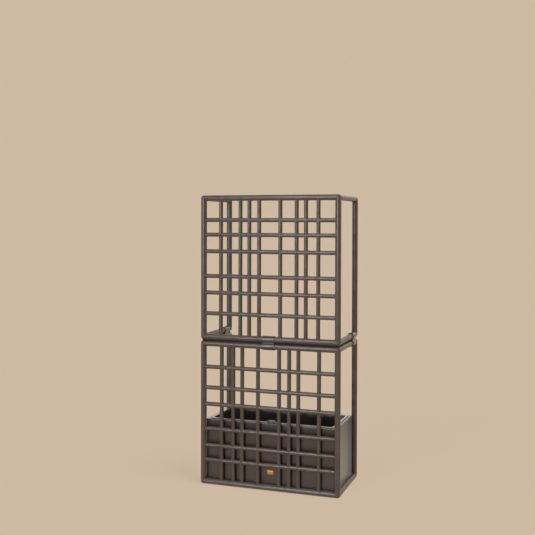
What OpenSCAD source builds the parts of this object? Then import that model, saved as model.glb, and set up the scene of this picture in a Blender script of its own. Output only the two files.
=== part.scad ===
// Divider planter: two stacked open cages of round tube with a lattice in the front plane,
// and a planter box with a lift-out liner in the lower cage.
// Units are millimetres, +Z is up and the lattice faces -Y.

/* [Cage] */
// overall width of each cage over its tubes
cage_w = 800; // [600:5:1200]
// overall depth of each cage over its tubes
cage_d = 410; // [300:5:600]
// overall height of each cage over its tubes
cage_h = 800; // [600:5:1000]
// outer diameter of the frame tubes
tube_d = 32; // [28:0.5:40]
// wall of the frame tubes
tube_wall = 2; // [1:0.25:4]
// clear gap between the two stacked cages
stack_gap = 6; // [4.5:0.5:10]

/* [Lattice] */
// diameter of the crossbars, which run unbroken from post to post
crossbar_d = 23; // [22.5:0.5:26]
// diameter of the uprights, which are coped between the crossbars
upright_d = 22; // [14:0.5:22.5]
// wall of the lattice tubes
bar_wall = 1.5; // [1:0.25:3]
// free space left for the weld at a coped end
cope_gap = 0.1; // [0:0.05:0.5]
// first upright, measured from the post that the panel starts at
bay_1 = 102; // [80:1:130]
// second upright, measured from the first
bay_2 = 115; // [80:1:140]
// third upright, measured from the second
bay_3 = 52; // [40:1:80]
// fourth upright, measured from the third
bay_4 = 57; // [40:1:80]
// fifth upright, measured from the fourth
bay_5 = 121; // [80:1:140]
// sixth upright, measured from the fifth
bay_6 = 92; // [60:1:120]
// seventh upright, measured from the sixth
bay_7 = 52; // [40:1:80]
// eighth upright, measured from the seventh
bay_8 = 69; // [40:1:80]
// first crossbar, measured from the rail that the panel starts at
row_1 = 121; // [80:1:140]
// second crossbar, measured from the first
row_2 = 81; // [50:1:110]
// third crossbar, measured from the second
row_3 = 92; // [60:1:110]
// fourth crossbar, measured from the third
row_4 = 137; // [90:1:150]
// fifth crossbar, measured from the fourth
row_5 = 92; // [60:1:110]
// sixth crossbar, measured from the fifth
row_6 = 115; // [80:1:130]

/* [Stack clamps] */
// length of each clamp along the tubes
clamp_len = 70; // [40:1:100]
// wall of the clamp rings
clamp_wall = 4; // [2.5:0.25:5]
// chamfer round the ends of the clamp rings
clamp_edge = 1.5; // [0.5:0.25:3]
// clearance between a clamp and the tubes that it holds
clamp_fit = 0.1; // [0:0.05:0.4]
// gap left between the two halves of a clamp
clamp_split = 1; // [0.5:0.25:2]
// half depth of the flat waist between the two rings
waist_depth = 14.5; // [12:0.5:15]
// half height of the waist block inside the rings
waist_rise = 6; // [4:0.5:8]
// distance from the back post to the side clamps
clamp_inset = 19; // [4:1:60]
// distance of each clamp screw from the middle of the clamp
screw_reach = 22; // [12:1:30]
// diameter of the clamp screws
screw_d = 3; // [2.5:0.5:4]
// diameter of the screw heads
screw_head_d = 5.6; // [5:0.1:7]
// height of the screw heads
screw_head_h = 2.2; // [1.5:0.1:3]
// width across the corners of the hexagon socket
socket_d = 2.3; // [1.5:0.1:3]
// depth of the hexagon socket
socket_depth = 1.2; // [0.6:0.1:2]
// clearance round a screw in the half that it passes through
screw_play = 0.4; // [0.2:0.1:0.8]
// clearance round a screw in the half that it is threaded into
thread_fit = 0.1; // [0.05:0.05:0.3]
// clearance round a screw head in its counterbore
head_play = 0.8; // [0.4:0.1:1.2]
// metal left under a screw head
head_seat = 8.5; // [6:0.5:9]
// metal left in front of the threaded hole
thread_cover = 3; // [1:0.5:4]
// free space between the tip of a screw and the end of its hole
screw_tip_gap = 0.5; // [0.25:0.25:2]

/* [Stack gaskets] */
// width of the rubber strips between the two cages
gasket_w = 12; // [8:1:16]
// free space between a strip and the clamp that it ends at
gasket_clear = 1; // [0.5:0.5:3]

/* [Bearers] */
// width of each of the two bearers that carry the box
bearer_w = 30; // [20:1:50]
// height of the bearers
bearer_h = 20; // [12:1:24]
// wall of the bearers
bearer_wall = 2; // [1.5:0.25:4]
// distance of each bearer from the front plane or the back plane
bearer_inset = 90; // [50:5:140]

/* [Planter box] */
// how far the box reaches out at each side past the inner line of the posts
box_side_lap = 6; // [0:0.5:6]
// how far the box reaches forward past the inner line of the front posts
box_front_lap = 2; // [0:0.5:2]
// how far the box reaches back past the inner line of the back posts
box_back_lap = 4; // [0:0.5:4]
// how far the floor of the box lies under the top line of the side tubes
box_sink = 6; // [0:0.5:6]
// height of the box
box_h = 334; // [250:2:380]
// sheet thickness of the box
box_wall = 2; // [1.5:0.25:2.5]
// radius of the upright corners of the box
box_corner = 4; // [4:0.5:10]
// outer radius of the bends between the floor and the walls
box_bend = 5; // [4:0.5:6]
// width of the rim folded inwards
rim_return = 25; // [20:1:36]
// how far the hem stands proud of the box wall
hem_proud = 0.5; // [0.25:0.25:1]
// height of the hem
hem_h = 6; // [4:0.5:12]
// diameter of the drain holes in the floor of the box
box_drain_d = 14; // [8:1:24]
// distance of the box drain holes from the middle
box_drain_x = 220; // [100:5:300]

/* [Liner] */
// how much of the rim of the box stays in sight round the liner
rim_show = 15; // [8:1:19]
// clearance between the liner body and the opening of the box
liner_play = 2.5; // [1:0.5:6]
// wall of the liner
liner_wall = 3; // [2:0.25:5]
// height of the liner under its flange
liner_h = 300; // [200:2:320]
// thickness of the flange of the liner
flange_t = 3; // [2:0.25:5]
// radius of the upright corners of the liner body
liner_corner = 20; // [8:1:40]
// diameter of the drain holes in the liner
liner_drain_d = 10; // [6:1:16]
// distance between the drain holes along the liner
liner_drain_x = 200; // [100:5:260]
// distance of the drain holes from the middle line of the liner
liner_drain_y = 70; // [30:5:100]
// width of the grip that stands on the front of the flange
grip_w = 52; // [36:1:90]
// height of the grip over the rim of the box
grip_h = 16; // [10:1:24]
// thickness of the grip
grip_t = 3; // [2:0.25:5]
// radius of the two upper corners of the grip
grip_corner = 8; // [4:0.5:9]
// distance of the grip to the right of the middle
grip_x = 5; // [-100:5:100]
// distance of the grip from the front edge of the flange
grip_set = 1; // [0.5:0.5:4]

/* [Glides] */
// thickness of the glides under the lowest line of the tubes
glide_t = 2; // [1:0.5:6]
// diameter of the glides
glide_d = 16; // [10:1:24]
// height of the side of a glide round the tube
glide_side = 4.5; // [3.5:0.5:8]
// diameter of the stem of a glide
glide_stem_d = 5; // [3:0.5:8]
// length of the stem above the inner face of the tube
glide_stem_tip = 3; // [1:0.5:8]
// clearance round the stem
stem_fit = 0.15; // [0.05:0.05:0.5]
// distance of the glides from the corners of the cage
glide_inset = 45; // [30:1:80]

/* [Quality] */
// number of steps round a frame tube
tube_steps = 96; // [32:8:160]
// number of steps round the small round pieces
small_steps = 64; // [24:8:128]

/* [Hidden] */
tube_r = tube_d / 2;
axis_w = cage_w - tube_d;
axis_d = cage_d - tube_d;
axis_h = cage_h - tube_d;
left = -axis_w / 2;
right = axis_w / 2;
clamp_r = tube_r + clamp_fit + clamp_wall;
front = clamp_r - (axis_d + tube_r + clamp_r) / 2;
back = front + axis_d;
lower_base = glide_t + tube_r;
lower_top = lower_base + axis_h;
upper_base = lower_top + tube_d + stack_gap;
upper_top = upper_base + axis_h;
stack_z = (lower_top + upper_base) / 2;
stack_rise = (upper_base - lower_top) / 2;
upright_1_at = bay_1;
upright_2_at = upright_1_at + bay_2;
upright_3_at = upright_2_at + bay_3;
upright_4_at = upright_3_at + bay_4;
upright_5_at = upright_4_at + bay_5;
upright_6_at = upright_5_at + bay_6;
upright_7_at = upright_6_at + bay_7;
upright_8_at = upright_7_at + bay_8;
crossbar_1_at = row_1;
crossbar_2_at = crossbar_1_at + row_2;
crossbar_3_at = crossbar_2_at + row_3;
crossbar_4_at = crossbar_3_at + row_4;
crossbar_5_at = crossbar_4_at + row_5;
crossbar_6_at = crossbar_5_at + row_6;
crossbars_at = [crossbar_1_at, crossbar_2_at, crossbar_3_at,
  crossbar_4_at, crossbar_5_at, crossbar_6_at];
side_clamp_y = back - tube_r - clamp_inset - clamp_len / 2;
box_w = axis_w - tube_d + 2 * box_side_lap;
box_d = axis_d - tube_d + box_front_lap + box_back_lap;
box_front = front + tube_r - box_front_lap;
box_y = box_front + box_d / 2;
box_z = lower_base + tube_r - box_sink;
box_top = box_z + box_h;
liner_in = rim_return + liner_play;
flange_front = box_front + rim_show;
gasket_half = gasket_w / 2;
glide_front = front + glide_inset;
glide_back = back - glide_inset;
X = [1, 0, 0];
Y = [0, 1, 0];
Z = [0, 0, 1];
eps = 0.5;
frame_colour = [0.40, 0.36, 0.33];
lattice_colour = [0.44, 0.40, 0.37];
clamp_colour = [0.34, 0.30, 0.28];
box_colour = [0.36, 0.32, 0.29];
liner_colour = [0.16, 0.15, 0.15];
steel_colour = [0.62, 0.62, 0.64];
glide_colour = [0.12, 0.12, 0.12];
rubber_colour = [0.08, 0.08, 0.08];

// turns the Z axis of its children to one of the main directions
module aim(d) {
  if (abs(d[0]) > 0)
    rotate([0, 90 * d[0], 0]) children();
  else if (abs(d[1]) > 0)
    rotate([-90 * d[1], 0, 0]) children();
  else if (d[2] < 0)
    rotate([180, 0, 0]) children();
  else
    children();
}

// right half of the outline of a straight bar with a ball at each end
module capsule_outline(r, length) {
  intersection() {
    union() {
      circle(r = r);
      translate([0, length]) circle(r = r);
      translate([-r, 0]) square([2 * r, length]);
    }
    translate([0, -2 * r]) square([2 * r, length + 4 * r]);
  }
}

// hollow tube whose two ends are closed by balls of its own radius
module round_tube(length) {
  rotate_extrude($fn = tube_steps)
    difference() {
      capsule_outline(tube_r, length);
      capsule_outline(tube_r - tube_wall, length);
    }
}

// half space beyond the mitre plane between a tube running along own and its neighbour along other
module mitre_cut(at, own, other) {
  n = (other - own) / sqrt(2);
  t = (other + own) / sqrt(2);
  s = cross(n, t);
  reach = 3 * tube_d;
  translate(at)
    multmatrix([[t[0], s[0], n[0], 0], [t[1], s[1], n[1], 0], [t[2], s[2], n[2], 0], [0, 0, 0, 1]])
      translate([-reach, -reach, 0])
        cube([2 * reach, 2 * reach, reach]);
}

// one tube of the cage from corner to corner, mitred against its neighbours at both ends
module frame_tube(start, along, length, near, far) {
  difference() {
    translate(start) aim(along) round_tube(length);
    for (other = near)
      mitre_cut(start, along, other);
    for (other = far)
      mitre_cut(start + along * length, -along, other);
  }
}

module front_post(x, base) {
  inward = x < 0 ? X : -X;
  frame_tube([x, front, base], Z, axis_h, [inward, Y], [inward, Y]);
}

module back_post(x, base) {
  frame_tube([x, back, base], Z, axis_h, [-Y], [-Y]);
}

module front_rail(z, up) {
  frame_tube([left, front, z], X, axis_w, [up, Y], [up, Y]);
}

module side_tube(x, z, up) {
  inward = x < 0 ? X : -X;
  frame_tube([x, front, z], Y, axis_d, [inward, up], [up]);
}

// bottom side tube of the lower cage, with the two holes for the stems of the glides
module footed_side_tube(x) {
  difference() {
    side_tube(x, lower_base, Z);
    for (y = [glide_front, glide_back])
      translate([x, y, 0]) cylinder(d = glide_stem_d + 2 * stem_fit, h = lower_base, $fn = small_steps);
  }
}

// solid the size of a whole tube from post to post, used to cope what meets it
module bar_solid(d, z) {
  translate([left, front, z]) rotate([0, 90, 0]) cylinder(d = d, h = axis_w, $fn = tube_steps);
}

// crossbar coped to the two front posts, measured from the start rail of its panel
module crossbar(z) {
  difference() {
    bar_solid(crossbar_d, z);
    bar_solid(crossbar_d - 2 * bar_wall, z);
    for (x = [left, right])
      translate([x, front, z - crossbar_d])
        cylinder(d = tube_d + 2 * cope_gap, h = 2 * crossbar_d, $fn = tube_steps);
  }
}

// row of upright lengths in one line, coped to both rails and to every crossbar
module upright(x, base, way) {
  start = way > 0 ? base : base + axis_h;
  difference() {
    translate([x, front, base]) cylinder(d = upright_d, h = axis_h, $fn = small_steps);
    translate([x, front, base - eps])
      cylinder(d = upright_d - 2 * bar_wall, h = axis_h + 2 * eps, $fn = small_steps);
    for (z = [base, base + axis_h])
      bar_solid(tube_d + 2 * cope_gap, z);
    for (z = crossbars_at)
      bar_solid(crossbar_d + 2 * cope_gap, start + way * z);
  }
}

module lower_crossbar(at) {
  crossbar(lower_base + at);
}

module upper_crossbar(at) {
  crossbar(upper_top - at);
}

module lower_upright(at) {
  upright(right - at, lower_base, 1);
}

module upper_upright(at) {
  upright(left + at, upper_base, -1);
}

// solid bar of one clamp ring with chamfered ends, centred on the Z axis
module ring_bar() {
  half = clamp_len / 2;
  slim = clamp_r - clamp_edge;
  rotate_extrude($fn = tube_steps)
    polygon([[0, -half], [slim, -half], [clamp_r, clamp_edge - half],
      [clamp_r, half - clamp_edge], [slim, half], [0, half]]);
}

// both rings and the waist of a stack clamp, length along X and outer side to -Y
module clamp_block() {
  waist_half = clamp_len / 2 - clamp_edge;
  difference() {
    union() {
      for (z = [-stack_rise, stack_rise])
        translate([0, 0, z]) rotate([0, 90, 0]) ring_bar();
      translate([-waist_half, -waist_depth, -waist_rise])
        cube([2 * waist_half, 2 * waist_depth, 2 * waist_rise]);
    }
    for (z = [-stack_rise, stack_rise])
      translate([-clamp_len / 2 - eps, 0, z])
        rotate([0, 90, 0]) cylinder(r = tube_r + clamp_fit, h = clamp_len + 2 * eps, $fn = tube_steps);
  }
}

// room on one side of the split plane, big enough for half a clamp
module clamp_side(way) {
  reach = 2 * clamp_r;
  translate([-clamp_len, way > 0 ? clamp_split / 2 : -clamp_split / 2 - reach, -2 * reach])
    cube([2 * clamp_len, reach, 4 * reach]);
}

module clamp_outer() {
  difference() {
    intersection() {
      clamp_block();
      clamp_side(-1);
    }
    for (x = [-screw_reach, screw_reach])
      translate([x, 0, 0]) rotate([90, 0, 0])
        cylinder(d = screw_d + 2 * thread_fit, h = waist_depth - thread_cover, $fn = small_steps);
  }
}

module clamp_inner() {
  difference() {
    intersection() {
      clamp_block();
      clamp_side(1);
    }
    for (x = [-screw_reach, screw_reach]) {
      translate([x, 0, 0]) rotate([-90, 0, 0])
        cylinder(d = screw_d + 2 * screw_play, h = 2 * waist_depth, $fn = small_steps);
      translate([x, head_seat, 0]) rotate([-90, 0, 0])
        cylinder(d = screw_head_d + head_play, h = 2 * waist_depth, $fn = small_steps);
    }
  }
}

// cap screw put in from the inner side, head and shank in one
module clamp_screw() {
  tip = waist_depth - thread_cover - screw_tip_gap;
  difference() {
    union() {
      translate([0, head_seat, 0]) rotate([-90, 0, 0])
        cylinder(d = screw_head_d, h = screw_head_h, $fn = small_steps);
      translate([0, head_seat + eps, 0]) rotate([90, 0, 0])
        cylinder(d = screw_d, h = head_seat + eps + tip, $fn = small_steps);
    }
    translate([0, head_seat + screw_head_h - socket_depth, 0])
      rotate([-90, 0, 0]) cylinder(d = socket_d, h = screw_head_h, $fn = 6);
  }
}

// puts a clamp piece on the front rails, on the left side tubes or on the right side tubes
module at_clamp(place) {
  if (place == "front")
    translate([0, front, stack_z]) children();
  else if (place == "left")
    translate([left, side_clamp_y, stack_z]) rotate([0, 0, -90]) children();
  else
    translate([right, side_clamp_y, stack_z]) rotate([0, 0, 90]) children();
}

// one length of frame tube filled up and grown by the weld gap, used to cope the strips against it
module full_tube(start, along, length) {
  translate(start) aim(along)
    rotate_extrude($fn = tube_steps) capsule_outline(tube_r + cope_gap, length);
}

// the four side tubes above and below the strips
module full_sides() {
  for (z = [lower_top, upper_base])
    for (x = [left, right])
      full_tube([x, front, z], Y, axis_d);
}

// block from one corner of its plan to the other, as high as the axes of the tubes are apart
module gasket_blank(from, to) {
  translate([from[0], from[1], lower_top])
    cube([to[0] - from[0], to[1] - from[1], 2 * stack_rise]);
}

// strip between the front rails, from the corner of the cage to the front clamp
module front_gasket(way) {
  outer = way > 0 ? right + gasket_half : left - gasket_half;
  inner = way * (clamp_len / 2 + gasket_clear);
  difference() {
    gasket_blank([min(outer, inner), front - gasket_half], [max(outer, inner), front + gasket_half]);
    for (z = [lower_top, upper_base])
      full_tube([left, front, z], X, axis_w);
    full_sides();
  }
}

// strip between the side tubes
module side_gasket(x, from_y, to_y) {
  difference() {
    gasket_blank([x - gasket_half, from_y], [x + gasket_half, to_y]);
    full_sides();
  }
}

module bearer(y) {
  difference() {
    translate([left, y - bearer_w / 2, box_z - bearer_h]) cube([axis_w, bearer_w, bearer_h]);
    translate([left - eps, y - bearer_w / 2 + bearer_wall, box_z - bearer_h + bearer_wall])
      cube([axis_w + 2 * eps, bearer_w - 2 * bearer_wall, bearer_h - 2 * bearer_wall]);
    for (x = [left, right])
      translate([x, y - bearer_w, lower_base]) rotate([-90, 0, 0])
        cylinder(d = tube_d + 2 * cope_gap, h = 2 * bearer_w, $fn = tube_steps);
  }
}

// flat slab with round upright corners, set in from the outline of the box
module slab(inset, corner, z, h) {
  w = box_w - 2 * inset;
  d = box_d - 2 * inset;
  translate([0, box_y, z]) linear_extrude(height = h) {
    square([w - 2 * corner, d], center = true);
    square([w, d - 2 * corner], center = true);
    for (x = [-w / 2 + corner, w / 2 - corner])
      for (y = [-d / 2 + corner, d / 2 - corner])
        translate([x, y]) circle(r = corner, $fn = small_steps);
  }
}

// upright plate with two round upper corners, standing in the front of the flange
module grip() {
  half = grip_w / 2;
  translate([grip_x, flange_front + grip_set + grip_t, box_top])
    rotate([90, 0, 0])
      linear_extrude(height = grip_t) {
        translate([-half, flange_t / 2]) square([grip_w, grip_h - grip_corner - flange_t / 2]);
        translate([grip_corner - half, flange_t / 2])
          square([grip_w - 2 * grip_corner, grip_h - flange_t / 2]);
        for (x = [grip_corner - half, half - grip_corner])
          translate([x, grip_h - grip_corner]) circle(r = grip_corner, $fn = small_steps);
      }
}

// long cutter that rounds the lower edge of a slab lying along X, seen from the wall inwards
module edge_cutter(length, r) {
  rotate([90, 0, 90])
    linear_extrude(height = length, center = true)
      difference() {
        translate([-eps, -eps]) square(r + eps);
        translate([r, r]) circle(r = r, $fn = small_steps);
      }
}

// slab whose four lower edges are rounded
module tub(inset, corner, z, h, r) {
  w = box_w - 2 * inset;
  d = box_d - 2 * inset;
  difference() {
    slab(inset, corner, z, h);
    for (turn = [0, 180])
      translate([0, box_y, z]) rotate([0, 0, turn]) translate([0, -d / 2, 0]) edge_cutter(w + tube_d, r);
    for (turn = [90, 270])
      translate([0, box_y, z]) rotate([0, 0, turn]) translate([0, -w / 2, 0]) edge_cutter(d + tube_d, r);
  }
}

module planter_shell() {
  color(box_colour)
    difference() {
      union() {
        tub(hem_proud, box_corner - hem_proud, box_z, box_h, box_bend);
        slab(0, box_corner, box_top - hem_h, hem_h);
      }
      tub(hem_proud + box_wall, box_corner - hem_proud - box_wall,
        box_z + box_wall, box_h - 2 * box_wall, box_bend - box_wall);
      slab(rim_return, liner_corner, box_top - 2 * box_wall, 4 * box_wall);
      for (x = [-box_drain_x, 0, box_drain_x])
        translate([x, box_y, box_z - eps]) cylinder(d = box_drain_d, h = 2 * box_wall, $fn = small_steps);
    }
}

module liner() {
  color(liner_colour)
    difference() {
      union() {
        slab(liner_in, liner_corner, box_top - liner_h, liner_h + flange_t);
        slab(rim_show, liner_corner, box_top, flange_t);
        grip();
      }
      slab(liner_in + liner_wall, liner_corner - liner_wall,
        box_top - liner_h + liner_wall, liner_h + flange_t);
      for (x = [-liner_drain_x, 0, liner_drain_x])
        for (y = [-liner_drain_y, liner_drain_y])
          translate([x, box_y + y, box_top - liner_h - eps])
            cylinder(d = liner_drain_d, h = 2 * liner_wall, $fn = small_steps);
    }
}

module glides() {
  color(glide_colour)
    for (x = [left, right])
      for (y = [glide_front, glide_back]) {
        difference() {
          translate([x, y, 0]) cylinder(d = glide_d, h = glide_side, $fn = small_steps);
          translate([x, y - glide_d, lower_base]) rotate([-90, 0, 0])
            cylinder(d = tube_d, h = 2 * glide_d, $fn = tube_steps);
        }
        translate([x, y, glide_t / 2])
          cylinder(d = glide_stem_d, h = glide_t / 2 + tube_wall + glide_stem_tip, $fn = small_steps);
      }
}

module lower_post_fl() {
  color(frame_colour) front_post(left, lower_base);
}

module lower_post_fr() {
  color(frame_colour) front_post(right, lower_base);
}

module lower_post_bl() {
  color(frame_colour) back_post(left, lower_base);
}

module lower_post_br() {
  color(frame_colour) back_post(right, lower_base);
}

module lower_rail_top() {
  color(frame_colour) front_rail(lower_top, -Z);
}

module lower_rail_bottom() {
  color(frame_colour) front_rail(lower_base, Z);
}

module lower_side_top_l() {
  color(frame_colour) side_tube(left, lower_top, -Z);
}

module lower_side_top_r() {
  color(frame_colour) side_tube(right, lower_top, -Z);
}

module lower_side_bottom_l() {
  color(frame_colour) footed_side_tube(left);
}

module lower_side_bottom_r() {
  color(frame_colour) footed_side_tube(right);
}

module upper_post_fl() {
  color(frame_colour) front_post(left, upper_base);
}

module upper_post_fr() {
  color(frame_colour) front_post(right, upper_base);
}

module upper_post_bl() {
  color(frame_colour) back_post(left, upper_base);
}

module upper_post_br() {
  color(frame_colour) back_post(right, upper_base);
}

module upper_rail_top() {
  color(frame_colour) front_rail(upper_top, -Z);
}

module upper_rail_bottom() {
  color(frame_colour) front_rail(upper_base, Z);
}

module upper_side_top_l() {
  color(frame_colour) side_tube(left, upper_top, -Z);
}

module upper_side_top_r() {
  color(frame_colour) side_tube(right, upper_top, -Z);
}

module upper_side_bottom_l() {
  color(frame_colour) side_tube(left, upper_base, Z);
}

module upper_side_bottom_r() {
  color(frame_colour) side_tube(right, upper_base, Z);
}

module lower_crossbar_1() {
  color(lattice_colour) lower_crossbar(crossbar_1_at);
}

module lower_crossbar_2() {
  color(lattice_colour) lower_crossbar(crossbar_2_at);
}

module lower_crossbar_3() {
  color(lattice_colour) lower_crossbar(crossbar_3_at);
}

module lower_crossbar_4() {
  color(lattice_colour) lower_crossbar(crossbar_4_at);
}

module lower_crossbar_5() {
  color(lattice_colour) lower_crossbar(crossbar_5_at);
}

module lower_crossbar_6() {
  color(lattice_colour) lower_crossbar(crossbar_6_at);
}

module lower_upright_1() {
  color(lattice_colour) lower_upright(upright_1_at);
}

module lower_upright_2() {
  color(lattice_colour) lower_upright(upright_2_at);
}

module lower_upright_3() {
  color(lattice_colour) lower_upright(upright_3_at);
}

module lower_upright_4() {
  color(lattice_colour) lower_upright(upright_4_at);
}

module lower_upright_5() {
  color(lattice_colour) lower_upright(upright_5_at);
}

module lower_upright_6() {
  color(lattice_colour) lower_upright(upright_6_at);
}

module lower_upright_7() {
  color(lattice_colour) lower_upright(upright_7_at);
}

module lower_upright_8() {
  color(lattice_colour) lower_upright(upright_8_at);
}

module upper_crossbar_1() {
  color(lattice_colour) upper_crossbar(crossbar_1_at);
}

module upper_crossbar_2() {
  color(lattice_colour) upper_crossbar(crossbar_2_at);
}

module upper_crossbar_3() {
  color(lattice_colour) upper_crossbar(crossbar_3_at);
}

module upper_crossbar_4() {
  color(lattice_colour) upper_crossbar(crossbar_4_at);
}

module upper_crossbar_5() {
  color(lattice_colour) upper_crossbar(crossbar_5_at);
}

module upper_crossbar_6() {
  color(lattice_colour) upper_crossbar(crossbar_6_at);
}

module upper_upright_1() {
  color(lattice_colour) upper_upright(upright_1_at);
}

module upper_upright_2() {
  color(lattice_colour) upper_upright(upright_2_at);
}

module upper_upright_3() {
  color(lattice_colour) upper_upright(upright_3_at);
}

module upper_upright_4() {
  color(lattice_colour) upper_upright(upright_4_at);
}

module upper_upright_5() {
  color(lattice_colour) upper_upright(upright_5_at);
}

module upper_upright_6() {
  color(lattice_colour) upper_upright(upright_6_at);
}

module upper_upright_7() {
  color(lattice_colour) upper_upright(upright_7_at);
}

module upper_upright_8() {
  color(lattice_colour) upper_upright(upright_8_at);
}

module clamp_front_outer() {
  color(clamp_colour) at_clamp("front") clamp_outer();
}

module clamp_front_inner() {
  color(clamp_colour) at_clamp("front") clamp_inner();
}

module clamp_left_outer() {
  color(clamp_colour) at_clamp("left") clamp_outer();
}

module clamp_left_inner() {
  color(clamp_colour) at_clamp("left") clamp_inner();
}

module clamp_right_outer() {
  color(clamp_colour) at_clamp("right") clamp_outer();
}

module clamp_right_inner() {
  color(clamp_colour) at_clamp("right") clamp_inner();
}

module clamp_screws() {
  color(steel_colour)
    for (place = ["front", "left", "right"])
      at_clamp(place)
        for (x = [-screw_reach, screw_reach])
          translate([x, 0, 0]) clamp_screw();
}

module stack_gaskets() {
  color(rubber_colour) {
    for (way = [-1, 1])
      front_gasket(way);
    for (x = [left, right]) {
      side_gasket(x, front + gasket_half + cope_gap, side_clamp_y - clamp_len / 2 - gasket_clear);
      side_gasket(x, side_clamp_y + clamp_len / 2 + gasket_clear, back - cope_gap);
    }
  }
}

module bearers() {
  color(frame_colour)
    for (y = [front + bearer_inset, back - bearer_inset])
      bearer(y);
}

lower_post_fl();
lower_post_fr();
lower_post_bl();
lower_post_br();
lower_rail_top();
lower_rail_bottom();
lower_side_top_l();
lower_side_top_r();
lower_side_bottom_l();
lower_side_bottom_r();
upper_post_fl();
upper_post_fr();
upper_post_bl();
upper_post_br();
upper_rail_top();
upper_rail_bottom();
upper_side_top_l();
upper_side_top_r();
upper_side_bottom_l();
upper_side_bottom_r();
lower_crossbar_1();
lower_crossbar_2();
lower_crossbar_3();
lower_crossbar_4();
lower_crossbar_5();
lower_crossbar_6();
lower_upright_1();
lower_upright_2();
lower_upright_3();
lower_upright_4();
lower_upright_5();
lower_upright_6();
lower_upright_7();
lower_upright_8();
upper_crossbar_1();
upper_crossbar_2();
upper_crossbar_3();
upper_crossbar_4();
upper_crossbar_5();
upper_crossbar_6();
upper_upright_1();
upper_upright_2();
upper_upright_3();
upper_upright_4();
upper_upright_5();
upper_upright_6();
upper_upright_7();
upper_upright_8();
clamp_front_outer();
clamp_front_inner();
clamp_left_outer();
clamp_left_inner();
clamp_right_outer();
clamp_right_inner();
clamp_screws();
stack_gaskets();
bearers();
planter_shell();
liner();
glides();
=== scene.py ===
# %% [markdown]
# # Divider planter
# A free-standing room divider: two open cages of round tube stand one on the other, each with an
# uneven lattice in its front plane, and the lower cage holds a planter box with a lift-out liner.
# The construction is already packed as a frame of named solids. This lesson dresses it: a powder
# coat on the tubes, a folded box with a soft rim, a plastic liner, the weld beads and a small bare
# brass plate. Lengths in the code are metres, and mm() turns millimetres into them.

import math

import bmesh
import bpy
import numpy as np
from mathutils import Matrix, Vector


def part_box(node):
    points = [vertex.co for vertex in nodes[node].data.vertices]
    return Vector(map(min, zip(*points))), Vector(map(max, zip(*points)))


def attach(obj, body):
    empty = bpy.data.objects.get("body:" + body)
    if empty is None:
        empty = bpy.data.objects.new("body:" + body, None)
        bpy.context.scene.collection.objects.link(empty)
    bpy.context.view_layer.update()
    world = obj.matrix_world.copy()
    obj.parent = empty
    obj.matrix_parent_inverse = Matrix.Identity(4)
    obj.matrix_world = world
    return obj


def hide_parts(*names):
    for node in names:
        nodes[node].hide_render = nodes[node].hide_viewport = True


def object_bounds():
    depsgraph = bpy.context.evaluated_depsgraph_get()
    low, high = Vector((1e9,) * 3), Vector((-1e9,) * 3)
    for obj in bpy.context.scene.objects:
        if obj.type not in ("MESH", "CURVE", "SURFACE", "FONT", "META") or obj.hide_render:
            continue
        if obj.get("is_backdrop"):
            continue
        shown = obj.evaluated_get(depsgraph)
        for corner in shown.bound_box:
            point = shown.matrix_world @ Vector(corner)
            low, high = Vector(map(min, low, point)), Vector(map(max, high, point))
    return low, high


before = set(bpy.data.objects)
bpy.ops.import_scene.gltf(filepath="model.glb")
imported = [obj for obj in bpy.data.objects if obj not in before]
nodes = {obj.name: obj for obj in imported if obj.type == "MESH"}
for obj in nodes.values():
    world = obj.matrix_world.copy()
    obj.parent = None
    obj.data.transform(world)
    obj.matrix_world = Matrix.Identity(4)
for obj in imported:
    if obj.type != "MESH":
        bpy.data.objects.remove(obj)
cad_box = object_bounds()


def mm(*values):
    """Millimetres to metres, one number or a list."""
    if len(values) == 1:
        return values[0] / 1000
    return [v / 1000 for v in values]


# %% [markdown]
# ## The camera
# The photograph was taken with a slightly long lens, from a little to the right of the object and
# from above its middle. The place, the turn and the lens were found by fitting the tubes of the
# frame to their edges in the photograph. The axis of the lens doesn't meet the middle of the
# picture, as if that were a crop, so the lens is shifted a little.

# %% Camera
# in pixels of the photograph: its width, the focal length, and where the axis of the lens meets it
PHOTO_W, FOCAL_PX = 535, 847.2
CENTRE_COLUMN, CENTRE_ROW = 268.0, 235.0
SENSOR_MM = 36.0
EYE = mm(1506.98, -4515.05, 1459.39)
YAW_DEG, PITCH_DEG, ROLL_DEG = 19.286, -0.863, 0.144
LEVEL_DEG = 90  # an unturned camera looks straight down, and this brings it up to the horizon

camera_data = bpy.data.cameras.new("camera")
camera = bpy.data.objects.new("camera", camera_data)
bpy.context.scene.collection.objects.link(camera)
camera_data.sensor_width = SENSOR_MM
camera_data.lens = FOCAL_PX / PHOTO_W * SENSOR_MM
camera_data.shift_x = (PHOTO_W / 2 - CENTRE_COLUMN) / PHOTO_W
camera_data.shift_y = (CENTRE_ROW - PHOTO_W / 2) / PHOTO_W
yaw = Matrix.Rotation(math.radians(YAW_DEG), 4, "Z")
pitch = Matrix.Rotation(math.radians(LEVEL_DEG + PITCH_DEG), 4, "X")
roll = Matrix.Rotation(math.radians(ROLL_DEG), 4, "Z")
camera.matrix_world = Matrix.Translation(EYE) @ yaw @ pitch @ roll
bpy.context.scene.camera = camera
bpy.context.scene.view_settings.view_transform = "Standard"
print("camera: lens %.1f mm, shift %.3f" % (camera_data.lens, camera_data.shift_y))

# %% [markdown]
# ## Colours and nodes
# Colours are written as the sRGB hex values that one would pick from a photograph. The renderer
# works in linear light, so one function turns them. A second small function adds a shader node
# with its settings and its links, so that each material below reads as a short recipe.


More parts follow.
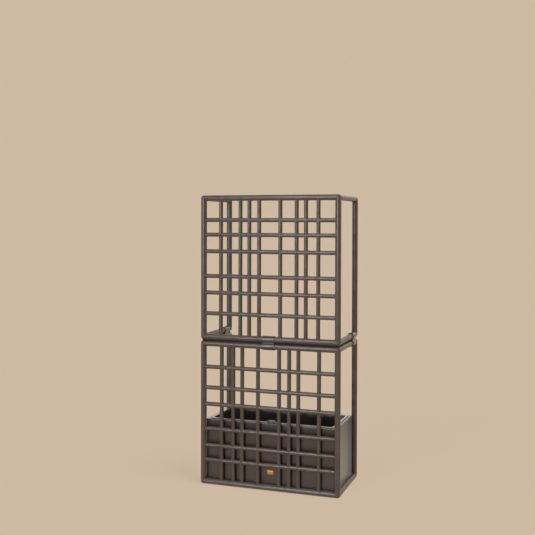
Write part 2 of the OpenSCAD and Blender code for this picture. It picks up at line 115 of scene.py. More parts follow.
# %% Helpers for colours and shader nodes
def linear(hex_colour):
    """sRGB hex string to linear RGBA: ((c + 0.055) / 1.055) ** 2.4, or c / 12.92 near black."""
    c = np.array([int(hex_colour[i:i + 2], 16) for i in (1, 3, 5)]) / 255
    c = np.where(c <= 0.04045, c / 12.92, ((c + 0.055) / 1.055) ** 2.4)
    return (*c.tolist(), 1.0)


def add(tree, kind, links=None, **settings):
    """Adds a node: settings are its properties, links gives each input a value or an output."""
    node = tree.nodes.new(kind)
    for key, value in settings.items():
        setattr(node, key, value)
    for key, value in (links or {}).items():
        if isinstance(value, bpy.types.NodeSocket):
            tree.links.new(value, node.inputs[key])
        else:
            node.inputs[key].default_value = value
    return node


def new_material(name):
    """An empty material, its node tree and the output node."""
    material = bpy.data.materials.new(name)
    material.use_nodes = True
    tree = material.node_tree
    tree.nodes.clear()
    return material, tree, add(tree, "ShaderNodeOutputMaterial")


# %% [markdown]
# ## The room
# The product stands in a plain warm set whose floor and wall are one colour. The world shows that
# colour to the camera. Glossy rays see it too: brightest behind the object, dimmer at the sides
# and in front, where a studio is dark. Two white panels hang in those reflections, one overhead
# and one low behind. They draw the fine light line along the top of every tube and the bright
# strips round the mouth of the box. They could be meshes, but the world can show them to glossy
# rays alone, and they then add no light to matt surfaces. The room and each panel are products of
# smooth steps along the axes, so their edges are soft.

# %% What the world shows
SET_COLOUR = linear("#CEBAA2")
DOME_COLOUR, PANEL_COLOUR = linear("#FFF8F0"), linear("#FFFFFF")
DOME = 0.03
# each step: the axis, where the direction starts and ends it, and the value before and after it
ROOM = [("Y", 0.3, 0.7, 0.55, 0.90)]
CEILING_PANEL = [("Z", 0.70, 0.82, 0.0, 0.80), ("Y", 0.05, 0.20, 0.0, 1.0)]
BACK_PANEL = [("Z", 0.02, 0.10, 0.0, 0.70), ("Z", 0.36, 0.46, 1.0, 0.0),
              ("X", 0.0, 0.25, 1.0, 0.5), ("Y", 0.3, 0.6, 0.0, 1.0)]

world = bpy.data.worlds.new("studio")
bpy.context.scene.world = world
world.use_nodes = True
sky = world.node_tree
sky.nodes.clear()
path = add(sky, "ShaderNodeLightPath").outputs
generated = add(sky, "ShaderNodeTexCoord").outputs["Generated"]
direction = add(sky, "ShaderNodeSeparateXYZ", {0: generated}).outputs


def brightness(steps):
    """How bright a part of the room is in each direction: the product of its smooth steps."""
    product = 1.0
    for axis, start, end, before, after in steps:
        step = add(sky, "ShaderNodeMapRange", interpolation_type="SMOOTHSTEP",
                   links={0: direction[axis], 1: start, 2: end, 3: before, 4: after})
        product = add(sky, "ShaderNodeMath", {0: product, 1: step.outputs[0]},
                      operation="MULTIPLY").outputs[0]
    return product


panels = add(sky, "ShaderNodeMath", {0: brightness(CEILING_PANEL), 1: brightness(BACK_PANEL)},
             operation="ADD")
dome = add(sky, "ShaderNodeBackground", {"Color": DOME_COLOUR, "Strength": DOME})
wall = add(sky, "ShaderNodeBackground", {"Color": SET_COLOUR, "Strength": 1.0})
room = add(sky, "ShaderNodeBackground", {"Color": SET_COLOUR, "Strength": brightness(ROOM)})
white = add(sky, "ShaderNodeBackground", {"Color": PANEL_COLOUR, "Strength": panels.outputs[0]})
mirrored = add(sky, "ShaderNodeAddShader", {0: room.outputs[0], 1: white.outputs[0]})
indirect = add(sky, "ShaderNodeMixShader",
               {0: path["Is Glossy Ray"], 1: dome.outputs[0], 2: mirrored.outputs[0]})
seen = add(sky, "ShaderNodeMath", {0: path["Is Camera Ray"], 1: path["Is Transmission Ray"]},
           operation="MAXIMUM")
both = add(sky, "ShaderNodeMixShader",
           {0: seen.outputs[0], 1: indirect.outputs[0], 2: wall.outputs[0]})
add(sky, "ShaderNodeOutputWorld", {"Surface": both.outputs[0]})
print("world:", len(sky.nodes), "nodes, dome", DOME)

# %% [markdown]
# ## Floor and lamps
# Matt surfaces get their light from the lamps and from the floor. The lamps are suns with a disc:
# they light a large floor evenly, so that it keeps the tone of the wall up to the horizon. The
# floor is mostly self-lit, so shadows on it are faint, and its own light makes up what the lamps
# leave short of the colour of the wall. The top lamp stands to the right, and draws the soft
# shadow at the left of the foot. Reflections don't show it, because the ceiling panel is there.

# %% Table of the lamps
# azimuth (0 in front, 90 at the right), elevation and width of the disc in degrees, how bright
# the lamp makes a white card that faces it, and whether reflections show it
LAMPS = {
    "key": (-18, 1.5, 6, 0.14, True),
    "front": (-6, 1.5, 5, 0.05, True),
    "high": (-18, 35, 8, 0.16, True),
    "left": (-50, 12, 8, 0.06, True),
    "top": (65, 73, 16, 0.52, False),
    "right": (96, 12, 20, 0.08, True),
}
on_floor = [card * math.sin(math.radians(height)) for _, height, _, card, _ in LAMPS.values()]
floor_light = DOME + sum(on_floor)
print("the dome and", len(LAMPS), "lamps light the floor to %.3f" % floor_light)

# %% Floor
SHADOW_SHARE = 0.20
FLOOR_HALF = 60.0

own_light = (1 - SHADOW_SHARE * floor_light) / (1 - SHADOW_SHARE)
floor_paint, tree, out = new_material("set_floor_painted_board")
lit = add(tree, "ShaderNodeBsdfDiffuse", {"Color": SET_COLOUR})
glow = add(tree, "ShaderNodeEmission", {"Color": SET_COLOUR, "Strength": own_light})
both = add(tree, "ShaderNodeMixShader", {0: SHADOW_SHARE, 1: glow.outputs[0], 2: lit.outputs[0]})
tree.links.new(both.outputs[0], out.inputs["Surface"])

floor_mesh = bpy.data.meshes.new("floor")
round_the_edge = ((-1, -1), (1, -1), (1, 1), (-1, 1))
floor_mesh.from_pydata([(x * FLOOR_HALF, y * FLOOR_HALF, 0) for x, y in round_the_edge],
                       [], [(0, 1, 2, 3)])
floor = bpy.data.objects.new("floor", floor_mesh)
bpy.context.scene.collection.objects.link(floor)
floor_mesh.materials.append(floor_paint)
floor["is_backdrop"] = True
print("floor: takes", SHADOW_SHARE, "of its tone from the lamps, own light %.3f" % own_light)


# %% Lamps
def sun(name, azimuth, elevation, disc, card, in_reflections):
    """A soft sun. A white card that faces it looks as bright as card says, so its energy is
    card * pi."""
    data = bpy.data.lights.new(name, "SUN")
    data.angle = math.radians(disc)
    data.energy = card * math.pi
    lamp = bpy.data.objects.new(name, data)
    bpy.context.scene.collection.objects.link(lamp)
    lamp.rotation_euler = (math.radians(90 - elevation), 0, math.radians(azimuth))
    lamp.visible_glossy = in_reflections


for name, setting in LAMPS.items():
    sun(name, *setting)
print("lamps:", ", ".join(LAMPS))

# %% [markdown]
# ## Powder coat
# The tubes, clamps, bearers and the box are taken as aluminium with a baked polyester powder coat
# in a dark warm taupe. Powder is sprayed on dry and melts in the oven, which leaves a satin skin
# with a fine grain and faint, larger clouds where it lies a little thicker. The real grain is about
# 0.4 mm. It is drawn 2.4 mm wide here, because a finer one would not show at this distance. A bump
# carries the grain, so highlights break up softly as they do on the real coat. The clamps and the
# box are darker and have a thin clear layer, so their edges and rims shine more. The sheet of the
# box also has a slight haze, the pale bloom that a powdery surface shows where one looks along it.

# %% Powder coat
GRAIN, GRAIN_DEPTH = mm(2.4), mm(0.012)
GRAIN_SHARE = 0.45
PATTERN_LOW, PATTERN_HIGH = 0.36, 0.64
GRAIN_LOW, GRAIN_HIGH = 0.3, 0.7
GLOSS_SPREAD = 0.03


def powder_coat(name, thin_hex, thick_hex, roughness, cloud=mm(60), clear=0.0, haze=0.0):
    """Two tones mixed by clouds and grain, a grained bump, a clear layer and a haze."""
    material, tree, out = new_material(name)
    place = add(tree, "ShaderNodeTexCoord").outputs["Object"]
    clouds = add(tree, "ShaderNodeTexNoise", {"Vector": place, "Scale": 1 / cloud, "Detail": 3.0})
    grains = add(tree, "ShaderNodeTexNoise",
                 {"Vector": place, "Scale": 1 / GRAIN, "Detail": 2.0, "Roughness": 0.6})
    pattern = add(tree, "ShaderNodeMix",
                  {0: GRAIN_SHARE, 2: clouds.outputs[0], 3: grains.outputs[0]})
    spread = add(tree, "ShaderNodeMapRange",
                 {0: pattern.outputs[0], 1: PATTERN_LOW, 2: PATTERN_HIGH})
    tone = add(tree, "ShaderNodeMix", data_type="RGBA",
               links={0: spread.outputs[0], 6: linear(thin_hex), 7: linear(thick_hex)})
    gloss = add(tree, "ShaderNodeMapRange",
                {0: grains.outputs[0], 1: GRAIN_LOW, 2: GRAIN_HIGH,
                 3: roughness - GLOSS_SPREAD, 4: roughness + GLOSS_SPREAD})
    bump = add(tree, "ShaderNodeBump",
               {"Height": grains.outputs[0], "Distance": GRAIN_DEPTH, "Strength": 1.0})
    skin = add(tree, "ShaderNodeBsdfPrincipled", {
        "Base Color": tone.outputs[2], "Roughness": gloss.outputs[0], "Normal": bump.outputs[0],
        "Coat Weight": clear, "Coat Roughness": 0.3, "Sheen Weight": haze,
        "Sheen Roughness": 0.35})
    tree.links.new(skin.outputs[0], out.inputs["Surface"])
    return material


tube_coat = powder_coat("taupe_polyester_powder_coat", "#554B47", "#605652", 0.25)
bar_coat = powder_coat("taupe_powder_coat_lattice", "#544B47", "#5F5652", 0.23)
clamp_coat = powder_coat("taupe_powder_coat_clamps", "#3F3734", "#49413D", 0.18, clear=0.35)
sheet_coat = powder_coat("taupe_powder_coat_sheet", "#423938", "#4B4242", 0.36,
                         cloud=mm(120), clear=0.6, haze=0.33)
print("powder coats:", tube_coat.name, bar_coat.name, clamp_coat.name, sheet_coat.name)

# %% [markdown]
# ## Plastic and rubber
# The liner is a thermoformed black polyethylene tray with a faint orange peel and a glossy film
# from the heated mould. The glides are turned black nylon, and the strips between the two cages
# are black rubber. All three are one dark tone that clouds a little, with a peel in the bump. The
# peel of such sheet and mouldings is a few millimetres wide, and it is drawn at that size.

# %% Moulded plastic and rubber
PEEL_DEPTH = mm(0.08)
PALE_CLOUD = 1.5


def moulded_plastic(name, hex_colour, roughness, peel, film=0.0):
    """One dark tone with slight cloudiness, an orange peel of that width and a glossy film."""
    material, tree, out = new_material(name)
    place = add(tree, "ShaderNodeTexCoord").outputs["Object"]
    skin_noise = add(tree, "ShaderNodeTexNoise",
                     {"Vector": place, "Scale": 1 / peel, "Detail": 2.0})
    dark = linear(hex_colour)
    light = tuple(min(1.0, PALE_CLOUD * c) for c in dark)
    tone = add(tree, "ShaderNodeMix", {0: skin_noise.outputs[0], 6: dark, 7: light},
               data_type="RGBA")
    bump = add(tree, "ShaderNodeBump",
               {"Height": skin_noise.outputs[0], "Distance": PEEL_DEPTH, "Strength": 1.0})
    skin = add(tree, "ShaderNodeBsdfPrincipled", {
        "Base Color": tone.outputs[2], "Roughness": roughness, "Normal": bump.outputs[0],
        "Coat Weight": film, "Coat Roughness": 0.25})
    tree.links.new(skin.outputs[0], out.inputs["Surface"])
    return material


liner_plastic = moulded_plastic("black_polyethylene_liner", "#2E2624", 0.32, mm(6), film=0.8)
glide_plastic = moulded_plastic("black_nylon_glide", "#1E1C1B", 0.45, mm(3))
strip_rubber = moulded_plastic("black_epdm_rubber", "#141312", 0.75, mm(4))
print("plastics:", liner_plastic.name, glide_plastic.name, strip_rubber.name)

# %% [markdown]
# ## Steel and brass
# The clamp screws are stainless steel, and the little plate on the box is brushed brass. Brushing
# leaves fine scratches in one direction, which spread a highlight across them. They come from a
# noise that is stretched along the brush stroke, in the gloss, the bump and a little in the tone.
# Real scratches are about 0.1 mm wide. They are drawn 0.7 mm wide here, so that they can show.

# %% Brushed metal
SCRATCH_W, SCRATCH_DEPTH = mm(0.7), mm(0.02)
WORN_TONE = 0.8
SMOOTHER, ROUGHER = 0.06, 0.1


def brushed_metal(name, hex_colour, roughness, stroke):
    """Metal whose fine scratches run along X: a noise stretched to the length of the stroke."""
    material, tree, out = new_material(name)
    place = add(tree, "ShaderNodeTexCoord").outputs["Object"]
    lines = add(tree, "ShaderNodeMapping",
                {"Vector": place, "Scale": (1 / stroke, 1 / SCRATCH_W, 1 / SCRATCH_W)})
    brush = add(tree, "ShaderNodeTexNoise",
                {"Vector": lines.outputs[0], "Scale": 1.0, "Detail": 2.0})
    gloss = add(tree, "ShaderNodeMapRange",
                {0: brush.outputs[0], 3: roughness - SMOOTHER, 4: roughness + ROUGHER})
    bump = add(tree, "ShaderNodeBump",
               {"Height": brush.outputs[0], "Distance": SCRATCH_DEPTH, "Strength": 1.0})
    colour = linear(hex_colour)
    worn = tuple(WORN_TONE * c for c in colour[:3]) + (1.0,)
    tone = add(tree, "ShaderNodeMix", {0: brush.outputs[0], 6: colour, 7: worn}, data_type="RGBA")
    skin = add(tree, "ShaderNodeBsdfPrincipled", {
        "Base Color": tone.outputs[2], "Metallic": 1.0, "Roughness": gloss.outputs[0],
        "Normal": bump.outputs[0]})
    tree.links.new(skin.outputs[0], out.inputs["Surface"])
    return material


steel = brushed_metal("stainless_steel_screw", "#C9C9CB", 0.22, mm(4))
brass = brushed_metal("brushed_brass_plate", "#B78F59", 0.32, mm(12))
print("metals:", steel.name, brass.name)

# %% [markdown]
# ## Dressing the solids
# The tubes, clamps, screws, strips, bearers and glides already have their true shapes, so they
# stay as they are, and only their material changes. The first entry whose words begin the name of
# a node gives its finish. All other nodes are tubes, and those of the lattice have their own coat.

# %% Materials on the solids
FINISHES = [("clamp_screws", steel), ("clamp", clamp_coat), ("glides", glide_plastic),
            ("stack_gaskets", strip_rubber), ("liner", liner_plastic),
            ("planter_shell", sheet_coat)]
for name, solid in nodes.items():
    of_tubes = bar_coat if "crossbar" in name or "upright" in name else tube_coat
    finish = next((coat for start, coat in FINISHES if name.startswith(start)), of_tubes)
    for index in range(len(solid.data.materials)):
        solid.data.materials[index] = finish
print("dressed", len(nodes), "solids")

# %% [markdown]
# ## Surfaces from loops
# The box and its liner are sheets that follow a rectangle with round corners. Each is worked out
# as a stack of loops: every station gives how far the loop is set in, the radius of its corners
# and its height, and quads join one loop to the next. A folded edge is then a short run of
# stations along an arc. Points that fall together are merged, so that every seam is closed.

# %% Helpers for grids and pieces
SEAM = mm(0.002)
CREASE_DEG = 35


def grid_faces(rows, columns, close_rows=False):
    """Quads of a grid of points whose columns run round, as arrays of four indices."""
    r = np.arange(rows if close_rows else rows - 1)[:, None]
    c = np.arange(columns)[None, :]
    r2, c2 = (r + 1) % rows, (c + 1) % columns
    quads = [r * columns + c, r * columns + c2, r2 * columns + c2, r2 * columns + c]
    return np.stack(quads, -1).reshape(-1, 4)


def cap_faces(columns):
    """Strips that close a loop whose point k lies opposite point columns - 1 - k."""
    k = np.arange(columns // 2 - 1)
    return np.stack([k, k + 1, columns - 2 - k, columns - 1 - k], -1)


def join_parts(*parts):
    """Several (points, quads) pairs as one."""
    sizes = np.cumsum([0] + [len(p) for p, q in parts])
    points = np.concatenate([p for p, q in parts])
    quads = np.concatenate([q + s for (p, q), s in zip(parts, sizes)])
    return points, quads


def make_piece(name, points, quads, material, slot, body, crease=CREASE_DEG):
    """A mesh object from arrays, smooth but for edges sharper than crease, riding on a body."""
    mesh = bpy.data.meshes.new(name)
    mesh.from_pydata(points.reshape(-1, 3).tolist(), [], quads.tolist())
    work = bmesh.new()
    work.from_mesh(mesh)
    bmesh.ops.remove_doubles(work, verts=work.verts, dist=SEAM)
    work.to_mesh(mesh)
    work.free()
    mesh.polygons.foreach_set("use_smooth", np.ones(len(mesh.polygons), bool))
    mesh.set_sharp_from_angle(angle=math.radians(crease))
    mesh.materials.append(material)
    piece = bpy.data.objects.new(name, mesh)
    bpy.context.scene.collection.objects.link(piece)
    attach(piece, body)
    return piece


# %% Loops and folds
CORNER_STEPS = 8
QUARTERS = [(1, 1), (-1, 1), (-1, -1), (1, -1)]


def loops(stations, half_w, half_d, middle_y, on_x=(), on_y=()):
    """Rectangles with round corners: corner centre + radius * (cos a, sin a), one row per station.
    The straight sides get further points at the places on_x and on_y."""
    inset, radius, height = np.array(stations, float).T[:, :, None]
    corner_x, corner_y = half_w - inset - radius, half_d - inset - radius
    x, y = [], []
    for k, (side_x, side_y) in enumerate(QUARTERS):
        angle = np.linspace(k, k + 1, CORNER_STEPS + 1) * math.pi / 2
        x.append(side_x * corner_x + radius * np.cos(angle))
        y.append(side_y * corner_y + radius * np.sin(angle))
        # the loop runs to -x at the back and to +x in front, to -y at the left and to +y at the
        # right, and the further points of each straight side are put in that order
        if k % 2 == 0:
            x.append(np.sort(on_x)[::-side_x] + 0 * inset)
            y.append(side_y * (corner_y + radius) + 0 * np.sort(on_x))
        else:
            x.append(side_x * (corner_x + radius) + 0 * np.sort(on_y))
            y.append(np.sort(on_y)[::-side_y] + 0 * inset)
    x, y = np.concatenate(x, 1), np.concatenate(y, 1) + middle_y
    return np.stack([x, y, height + 0 * x], -1)


def fold(inset, height, radius, start, end, steps):
    """An arc in the section: (inset, height) + radius * (cos, sin) from start to end degrees."""
    a = np.radians(np.linspace(start, end, steps + 1))
    return [(inset + radius * math.cos(t), height + radius * math.sin(t)) for t in a]


# %% [markdown]
# ## The floor plates
# Both the box and the liner drain through holes in their floors. A floor is cut into one cell for
# each hole: a cell is a ring between the circle of the hole and the straight edges of the cell. A
# last ring joins the outline of all cells to the round corners of the wall, and its points on the
# straight sides are those of the cells.

# %% Floor with holes
HOLE_STEPS = 32


def drain_cell(centre, hole_r, reach, top, bottom):
    """Circle to rectangle at the same angle, above and below, and the wall of the hole. The ray
    at angle a leaves the rectangle at 1 / max(|cos a| / reach in x, |sin a| / reach in y)."""
    west, east, south, north = reach
    corners = np.arctan2([north, north, -south, -south], [east, -west, -west, east])
    even = np.linspace(0, 2 * math.pi, HOLE_STEPS, endpoint=False)
    a = np.unique(np.concatenate([even, corners % (2 * math.pi)]))
    ray = np.stack([np.cos(a), np.sin(a)], -1)
    reach_x = np.where(ray[:, 0] > 0, east, west)
    reach_y = np.where(ray[:, 1] > 0, north, south)
    edge = ray / np.maximum(abs(ray[:, 0]) / reach_x, abs(ray[:, 1]) / reach_y)[:, None]
    rings = [(edge, top), (hole_r * ray, top), (hole_r * ray, bottom), (edge, bottom)]
    points = np.stack([np.column_stack([xy + centre, np.full(len(a), z)]) for xy, z in rings])
    return points.reshape(-1, 3), grid_faces(4, len(a))


def floor_plate(holes_x, holes_y, hole_r, half_w, half_d, middle_y, top, bottom):
    """A cell for each hole. Cells meet midway between the holes and end at half_w and half_d."""
    lines_x, lines_y = (
        [-half] + [(a + b) / 2 for a, b in zip(places, places[1:])] + [half]
        for places, half in ((holes_x, half_w), (holes_y, half_d)))
    cells = []
    for x, west, east in zip(holes_x, lines_x, lines_x[1:]):
        for y, south, north in zip(holes_y, lines_y, lines_y[1:]):
            reach = (x - west, east - x, y - south, north - y)
            cells.append(drain_cell((x, y + middle_y), hole_r, reach, top, bottom))
    return join_parts(*cells)


def edge_places(floor_points, half_w, half_d, middle_y):
    """Where cells touch the outline, but for its corners: the x of points on its long sides, and
    the y of points on its short ones."""
    x, y = floor_points[:, 0], floor_points[:, 1] - middle_y
    on_x = np.unique(x[abs(abs(y) - half_d) < SEAM].round(7))
    on_y = np.unique(y[abs(abs(x) - half_w) < SEAM].round(7))
    return on_x[1:-1], on_y[1:-1]


# %% [markdown]
# ## The planter box
# The box is folded from 2 mm sheet: the floor and walls meet in bends, the top edge is turned into
# a narrow hem that stands proud of the wall, and the rim is folded inwards to carry the liner. The
# solid is plain along the rim and hem. This piece takes its place, with the same sizes and with a
# small radius on those edges too, because the bends are what catches the light along the rim.

# %% Sizes of the planter box
shell_lo, shell_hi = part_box("planter_shell")
BOX_HALF_W = (shell_hi.x - shell_lo.x) / 2
BOX_HALF_D = (shell_hi.y - shell_lo.y) / 2
BOX_Y = (shell_hi.y + shell_lo.y) / 2
BOX_BOTTOM, BOX_TOP = shell_lo.z, shell_hi.z
SHEET = mm(2)
FLOOR_BEND, RIM_BEND = mm(5), mm(1.9)
HEM_PROUD, HEM_H = mm(0.5), mm(6)
HEM_ROUND, HEM_STEP = mm(0.45), mm(0.3)
OUTER_CORNER, SHARPEST_CORNER = mm(4), mm(0.4)
RIM_RETURN, RIM_CORNER, LIP_ROUND = mm(25), mm(20), mm(0.6)
FLOOR_MARGIN = mm(36)
DRAIN_X, DRAIN_R = mm(220), mm(7)
box_sizes = (2000 * BOX_HALF_W, 2000 * BOX_HALF_D, 1000 * (BOX_TOP - BOX_BOTTOM))
print("planter box: %.0f x %.0f x %.0f mm" % box_sizes)


# %% Planter box
def box_corner(section):
    """Adds the corner radius to each (inset, height): the outer radius less the inset, which
    keeps the corners concentric."""
    return [(i, max(OUTER_CORNER - i, SHARPEST_CORNER), z) for i, z in section]


wall_in, hem_bottom = HEM_PROUD, BOX_TOP - HEM_H
bend_in, bend_height = wall_in + FLOOR_BEND, BOX_BOTTOM + FLOOR_BEND
outside = fold(bend_in, bend_height, FLOOR_BEND, 270, 180, steps=6)
outside += [(wall_in, hem_bottom - HEM_STEP)]
outside += fold(HEM_ROUND, hem_bottom + HEM_ROUND, HEM_ROUND, 250, 180, steps=3)
outside += fold(RIM_BEND, BOX_TOP - RIM_BEND, RIM_BEND, 180, 90, steps=5)
lip = [(RIM_RETURN - LIP_ROUND, RIM_CORNER + LIP_ROUND, BOX_TOP),
       (RIM_RETURN, RIM_CORNER, BOX_TOP - LIP_ROUND),
       (RIM_RETURN, RIM_CORNER, BOX_TOP - SHEET)]
inside = [(wall_in + SHEET, BOX_TOP - SHEET)]
inside += fold(bend_in, bend_height, FLOOR_BEND - SHEET, 180, 270, steps=4)
stations = [(FLOOR_MARGIN, 0, BOX_BOTTOM), *box_corner(outside), *lip, *box_corner(inside),
            (FLOOR_MARGIN, 0, BOX_BOTTOM + SHEET)]
floor_half = BOX_HALF_W - FLOOR_MARGIN, BOX_HALF_D - FLOOR_MARGIN
holes = floor_plate([-DRAIN_X, 0, DRAIN_X], [0], DRAIN_R, *floor_half, BOX_Y,
                    BOX_BOTTOM + SHEET, BOX_BOTTOM)
rows = loops(stations, BOX_HALF_W, BOX_HALF_D, BOX_Y, *edge_places(holes[0], *floor_half, BOX_Y))
walls = (rows.reshape(-1, 3), grid_faces(*rows.shape[:2]))
box_piece = make_piece("folded_planter_box", *join_parts(walls, holes), sheet_coat,
                       "box_coat", "planter")
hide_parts("planter_shell")
print("folded from", len(stations), "stations:", len(box_piece.data.polygons), "faces")

# %% [markdown]
# ## The liner
# The plants stand in a black tray that is formed from warm plastic sheet, so every edge is round
# and the walls meet the floor in a wide fillet. Its flange lies on the rim of the box and leaves a
# strip of the rim in sight. The loops below run from under the floor up outside, over the flange,
# down the inner wall and back to the floor.

# %% Sizes of the liner
liner_lo, liner_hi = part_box("liner")
LINER_WALL, FLANGE = mm(3), mm(3)
RIM_SHOW, BODY_IN = mm(15), mm(27.5)
BODY_CORNER, FLOOR_CORNER, CORNER_SHRINK = mm(20), mm(6), 0.5
FILLET = mm(9)
FLANGE_ROUND, FLANGE_BREAK, MOUTH_ROUND = mm(1.4), mm(1.0), mm(2.5)
LINER_MARGIN = mm(46)
LINER_DRAIN_X, LINER_DRAIN_Y, LINER_DRAIN_R = mm(200), mm(70), mm(5)
flange_top, liner_bottom = BOX_TOP + FLANGE, liner_lo.z
print("liner: %.0f mm deep" % (1000 * (flange_top - liner_bottom)))


# %% Tray of the liner
def liner_corner(section):
    """The flange and the body keep one corner radius; it shrinks along the fillets of the floor."""
    return [(i, max(BODY_CORNER - CORNER_SHRINK * max(i - inner, 0), FLOOR_CORNER), z)
            for i, z in section]


inner = BODY_IN + LINER_WALL
up = fold(BODY_IN + FILLET, liner_bottom + FILLET, FILLET, 270, 180, steps=6)
up += [(BODY_IN, BOX_TOP), (RIM_SHOW + FLANGE_BREAK, BOX_TOP), (RIM_SHOW, BOX_TOP + FLANGE_BREAK)]
over = fold(RIM_SHOW + FLANGE_ROUND, flange_top - FLANGE_ROUND, FLANGE_ROUND, 180, 90, steps=4)
over += fold(inner - MOUTH_ROUND, flange_top - MOUTH_ROUND, MOUTH_ROUND, 90, 0, steps=5)
down = fold(inner + FILLET, liner_bottom + LINER_WALL + FILLET, FILLET, 180, 270, steps=6)
stations = [(LINER_MARGIN, 0, liner_bottom), *liner_corner(up + over + down),
            (LINER_MARGIN, 0, liner_bottom + LINER_WALL)]
floor_half = BOX_HALF_W - LINER_MARGIN, BOX_HALF_D - LINER_MARGIN
holes = floor_plate([-LINER_DRAIN_X, 0, LINER_DRAIN_X], [-LINER_DRAIN_Y, LINER_DRAIN_Y],
                    LINER_DRAIN_R, *floor_half, BOX_Y, liner_bottom + LINER_WALL, liner_bottom)
rows = loops(stations, BOX_HALF_W, BOX_HALF_D, BOX_Y, *edge_places(holes[0], *floor_half, BOX_Y))
tray = join_parts((rows.reshape(-1, 3), grid_faces(*rows.shape[:2])), holes)
print("tray:", len(stations), "stations,", len(tray[1]), "quads")

# %% [markdown]
# ## The grip of the liner
# One lifts the liner by a tab that stands on the front of its flange. Its outline is a rectangle
# with two round upper corners. The tab is that outline carried through its thickness, and pulled in
# a little at the first and last steps, which rounds its edges. Its foot is sunk into the flange.

# %% Grip
GRIP_W, GRIP_H, GRIP_T = mm(52), liner_hi.z - BOX_TOP, mm(3)
GRIP_X, GRIP_CORNER, GRIP_EDGE = mm(5), mm(8), mm(1.0)
GRIP_FOOT, GRIP_SET_BACK = mm(1.5), mm(1)
GRIP_FRONT = BOX_Y - BOX_HALF_D + RIM_SHOW + GRIP_SET_BACK
EDGE_POINTS, TURN_POINTS = 4, 7


def rounded_tab(middle_x, base_z, front_y, width, height, depth, corner, edge):
    """Outline: up one side, round the corners at (half width - corner, height - corner), down the
    other. Station k is that outline, pulled in by edge * (1 - sin a), edge * (1 - cos a) deep."""
    a = np.linspace(0, math.pi / 2, EDGE_POINTS)
    pull = np.concatenate([edge * (1 - np.sin(a)), edge * (1 - np.sin(a[::-1]))])[:, None]
    y = np.concatenate([edge * (1 - np.cos(a)), depth - edge * (1 - np.cos(a[::-1]))])[:, None]
    turn = np.linspace(0, math.pi / 2, TURN_POINTS)[None, :]
    x_arc = width / 2 - corner + (corner - pull) * np.cos(turn)
    z_arc = height - corner + (corner - pull) * np.sin(turn)
    half_x = np.concatenate([x_arc[:, :1], x_arc], 1)
    half_z = np.concatenate([0 * pull + GRIP_FOOT, z_arc], 1)
    x = np.concatenate([half_x, -half_x[:, ::-1]], 1)
    z = np.concatenate([half_z, half_z[:, ::-1]], 1)
    points = np.stack([middle_x + x, front_y + y + 0 * x, base_z + z], -1)
    rows, columns = x.shape
    front = cap_faces(columns)
    rear = front[:, ::-1] + (rows - 1) * columns
    quads = np.concatenate([grid_faces(rows, columns)[:, ::-1], front, rear])
    return points.reshape(-1, 3), quads


tab = rounded_tab(GRIP_X, BOX_TOP, GRIP_FRONT, GRIP_W, GRIP_H, GRIP_T, GRIP_CORNER, GRIP_EDGE)
liner_piece = make_piece("formed_liner_tray", *join_parts(tray, tab), liner_plastic,
                         "liner_plastic", "liner")
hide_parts("liner")
print("liner:", len(liner_piece.data.polygons), "faces, with its grip")

# %% [markdown]
# ## The weld beads
# Every end of a lattice tube is welded all round to the tube that it meets. The seam of a small
# tube on a large one is a saddle: going round the small tube, its height above the axis of the
# large one is the square root of R squared minus the squared sideways distance. A bead is a thin
# ring carried along that saddle. A cage has 124 of them, so they are worked out all at once, with
# few faces each.

# %% Places of the welds
CROSSBARS, UPRIGHTS = 6, 8
ALONG_X, ALONG_Z = (1, 0, 0), (0, 0, 1)


def middle_and_half(name):
    """Middle and half size of a node's box. A tube's radius is half its size across its axis."""
    lo, hi = (np.array(v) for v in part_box(name))
    return (lo + hi) / 2, (hi - lo) / 2


def welds_of(cage):
    """One row per weld: a centre on the large tube's axis, that axis u, the direction w in which
    the small tube leaves it, and the radii of the large and the small tube."""
    bars = [middle_and_half("%s_crossbar_%d" % (cage, k + 1)) for k in range(CROSSBARS)]
    uprights = [middle_and_half("%s_upright_%d" % (cage, k + 1)) for k in range(UPRIGHTS)]
    rails = [middle_and_half("%s_rail_%s" % (cage, place)) for place in ("bottom", "top")]
    (_, front_y, _), (_, _, frame_r) = rails[0]
    post_x = -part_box(cage + "_post_fl")[0].x - frame_r
    levels = sorted([(c[2], h[2]) for c, h in bars] + [(c[2], frame_r) for c, h in rails])
    rows = []
    for (x, _, _), (upright_r, _, _) in uprights:
        for (low, low_r), (high, high_r) in zip(levels, levels[1:]):
            rows.append([x, front_y, low, *ALONG_X, 0, 0, 1, low_r, upright_r])
            rows.append([x, front_y, high, *ALONG_X, 0, 0, -1, high_r, upright_r])
    for (_, _, z), (_, _, bar_r) in bars:
        for side in (-1, 1):
            rows.append([side * post_x, front_y, z, *ALONG_Z, -side, 0, 0, frame_r, bar_r])
    return np.array(rows)


# %% Weld beads
BEAD_R = mm(1.4)
BEAD_STEPS, BEAD_SIDES = 14, 4
BEAD_CREASE_DEG = 120


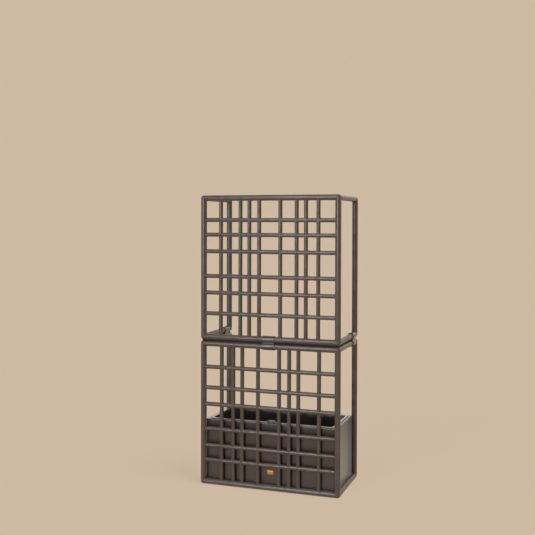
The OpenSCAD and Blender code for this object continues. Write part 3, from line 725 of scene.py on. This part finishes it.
def weld_beads(rows):
    """P(t) = c + r cos t u + r sin t v + sqrt(R^2 - (r sin t)^2) w, with v = w x u. The bead is
    P + bead radius * (cos p a + sin p b), with a = cos t u + sin t v and b = tangent x a."""
    centre, u, w = rows[:, None, 0:3], rows[:, None, 3:6], rows[:, None, 6:9]
    big, small = rows[:, 9][:, None, None], rows[:, 10][:, None, None]
    v = np.cross(w, u)
    t = np.linspace(0, 2 * math.pi, BEAD_STEPS, endpoint=False)[None, :, None]
    out = np.cos(t) * u + np.sin(t) * v
    rise = np.sqrt(big ** 2 - (small * np.sin(t)) ** 2)
    path = centre + small * out + rise * w
    tangent = small * (np.cos(t) * v - np.sin(t) * u)
    tangent = tangent - small ** 2 * np.sin(t) * np.cos(t) / rise * w
    tangent /= np.linalg.norm(tangent, axis=-1, keepdims=True)
    side = np.cross(tangent, out)
    p = np.linspace(0, 2 * math.pi, BEAD_SIDES, endpoint=False)[None, None, :, None]
    round_it = np.cos(p) * out[:, :, None] + np.sin(p) * side[:, :, None]
    points = path[:, :, None] + BEAD_R * round_it
    ring = grid_faces(BEAD_STEPS, BEAD_SIDES, close_rows=True)
    shift = np.arange(len(rows))[:, None, None] * BEAD_STEPS * BEAD_SIDES
    return points.reshape(-1, 3), (ring[None] + shift).reshape(-1, 4)


for cage in ("lower", "upper"):
    welds = welds_of(cage)
    beads = make_piece("weld_beads_" + cage, *weld_beads(welds), bar_coat, "lattice_coat", "cage",
                       crease=BEAD_CREASE_DEG)
    print(beads.name, len(welds), "beads,", len(beads.data.polygons), "faces")

# %% [markdown]
# ## The brass plate
# A small bare plate sits on the front of the box, low down and near the middle. It is cut from
# brass sheet with round corners and softly broken edges, and stands on the wall of the box. It is
# the same kind of surface as the box: a stack of loops, here laid against a vertical wall.

# %% Brass plate
PLATE_W, PLATE_H, PLATE_T = mm(37), mm(23), mm(1.2)
PLATE_X, PLATE_Z = mm(4), mm(96)
PLATE_CORNER, PLATE_EDGE, PLATE_SUNK = mm(2.5), mm(0.5), mm(0.4)
wall_y = BOX_Y - BOX_HALF_D + HEM_PROUD

edge = fold(PLATE_EDGE, PLATE_T - PLATE_EDGE, PLATE_EDGE, 180, 90, steps=4)
stations = [(0, PLATE_CORNER, -PLATE_SUNK)] + [(i, PLATE_CORNER - i, z) for i, z in edge]
face = loops(stations, PLATE_W / 2, PLATE_H / 2, 0)
points = np.stack([PLATE_X + face[..., 0], wall_y - face[..., 2], PLATE_Z + face[..., 1]], -1)
rows, columns = face.shape[:2]
rear = cap_faces(columns)[:, ::-1]
front = cap_faces(columns) + (rows - 1) * columns
quads = np.concatenate([grid_faces(rows, columns), rear, front])
plate = make_piece("bare_brass_plate", points, quads, brass, "screw_steel", "planter")
plate_sizes = (1000 * PLATE_W, 1000 * PLATE_H, len(plate.data.polygons))
print("plate: %.0f x %.0f mm, %d faces" % plate_sizes)

# %% [markdown]
# ## The size of the result
# Both boxes are printed: that of the solids and that of the dressed scene. The dressed model may
# not grow past the solids. They should agree, because each new piece keeps to the sizes of the
# node that it replaces.

# %% Print the sizes
box_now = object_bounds()
for label, box in (("solids", cad_box), ("scene", box_now)):
    print("box of the", label, [[round(c, 4) for c in corner] for corner in box])
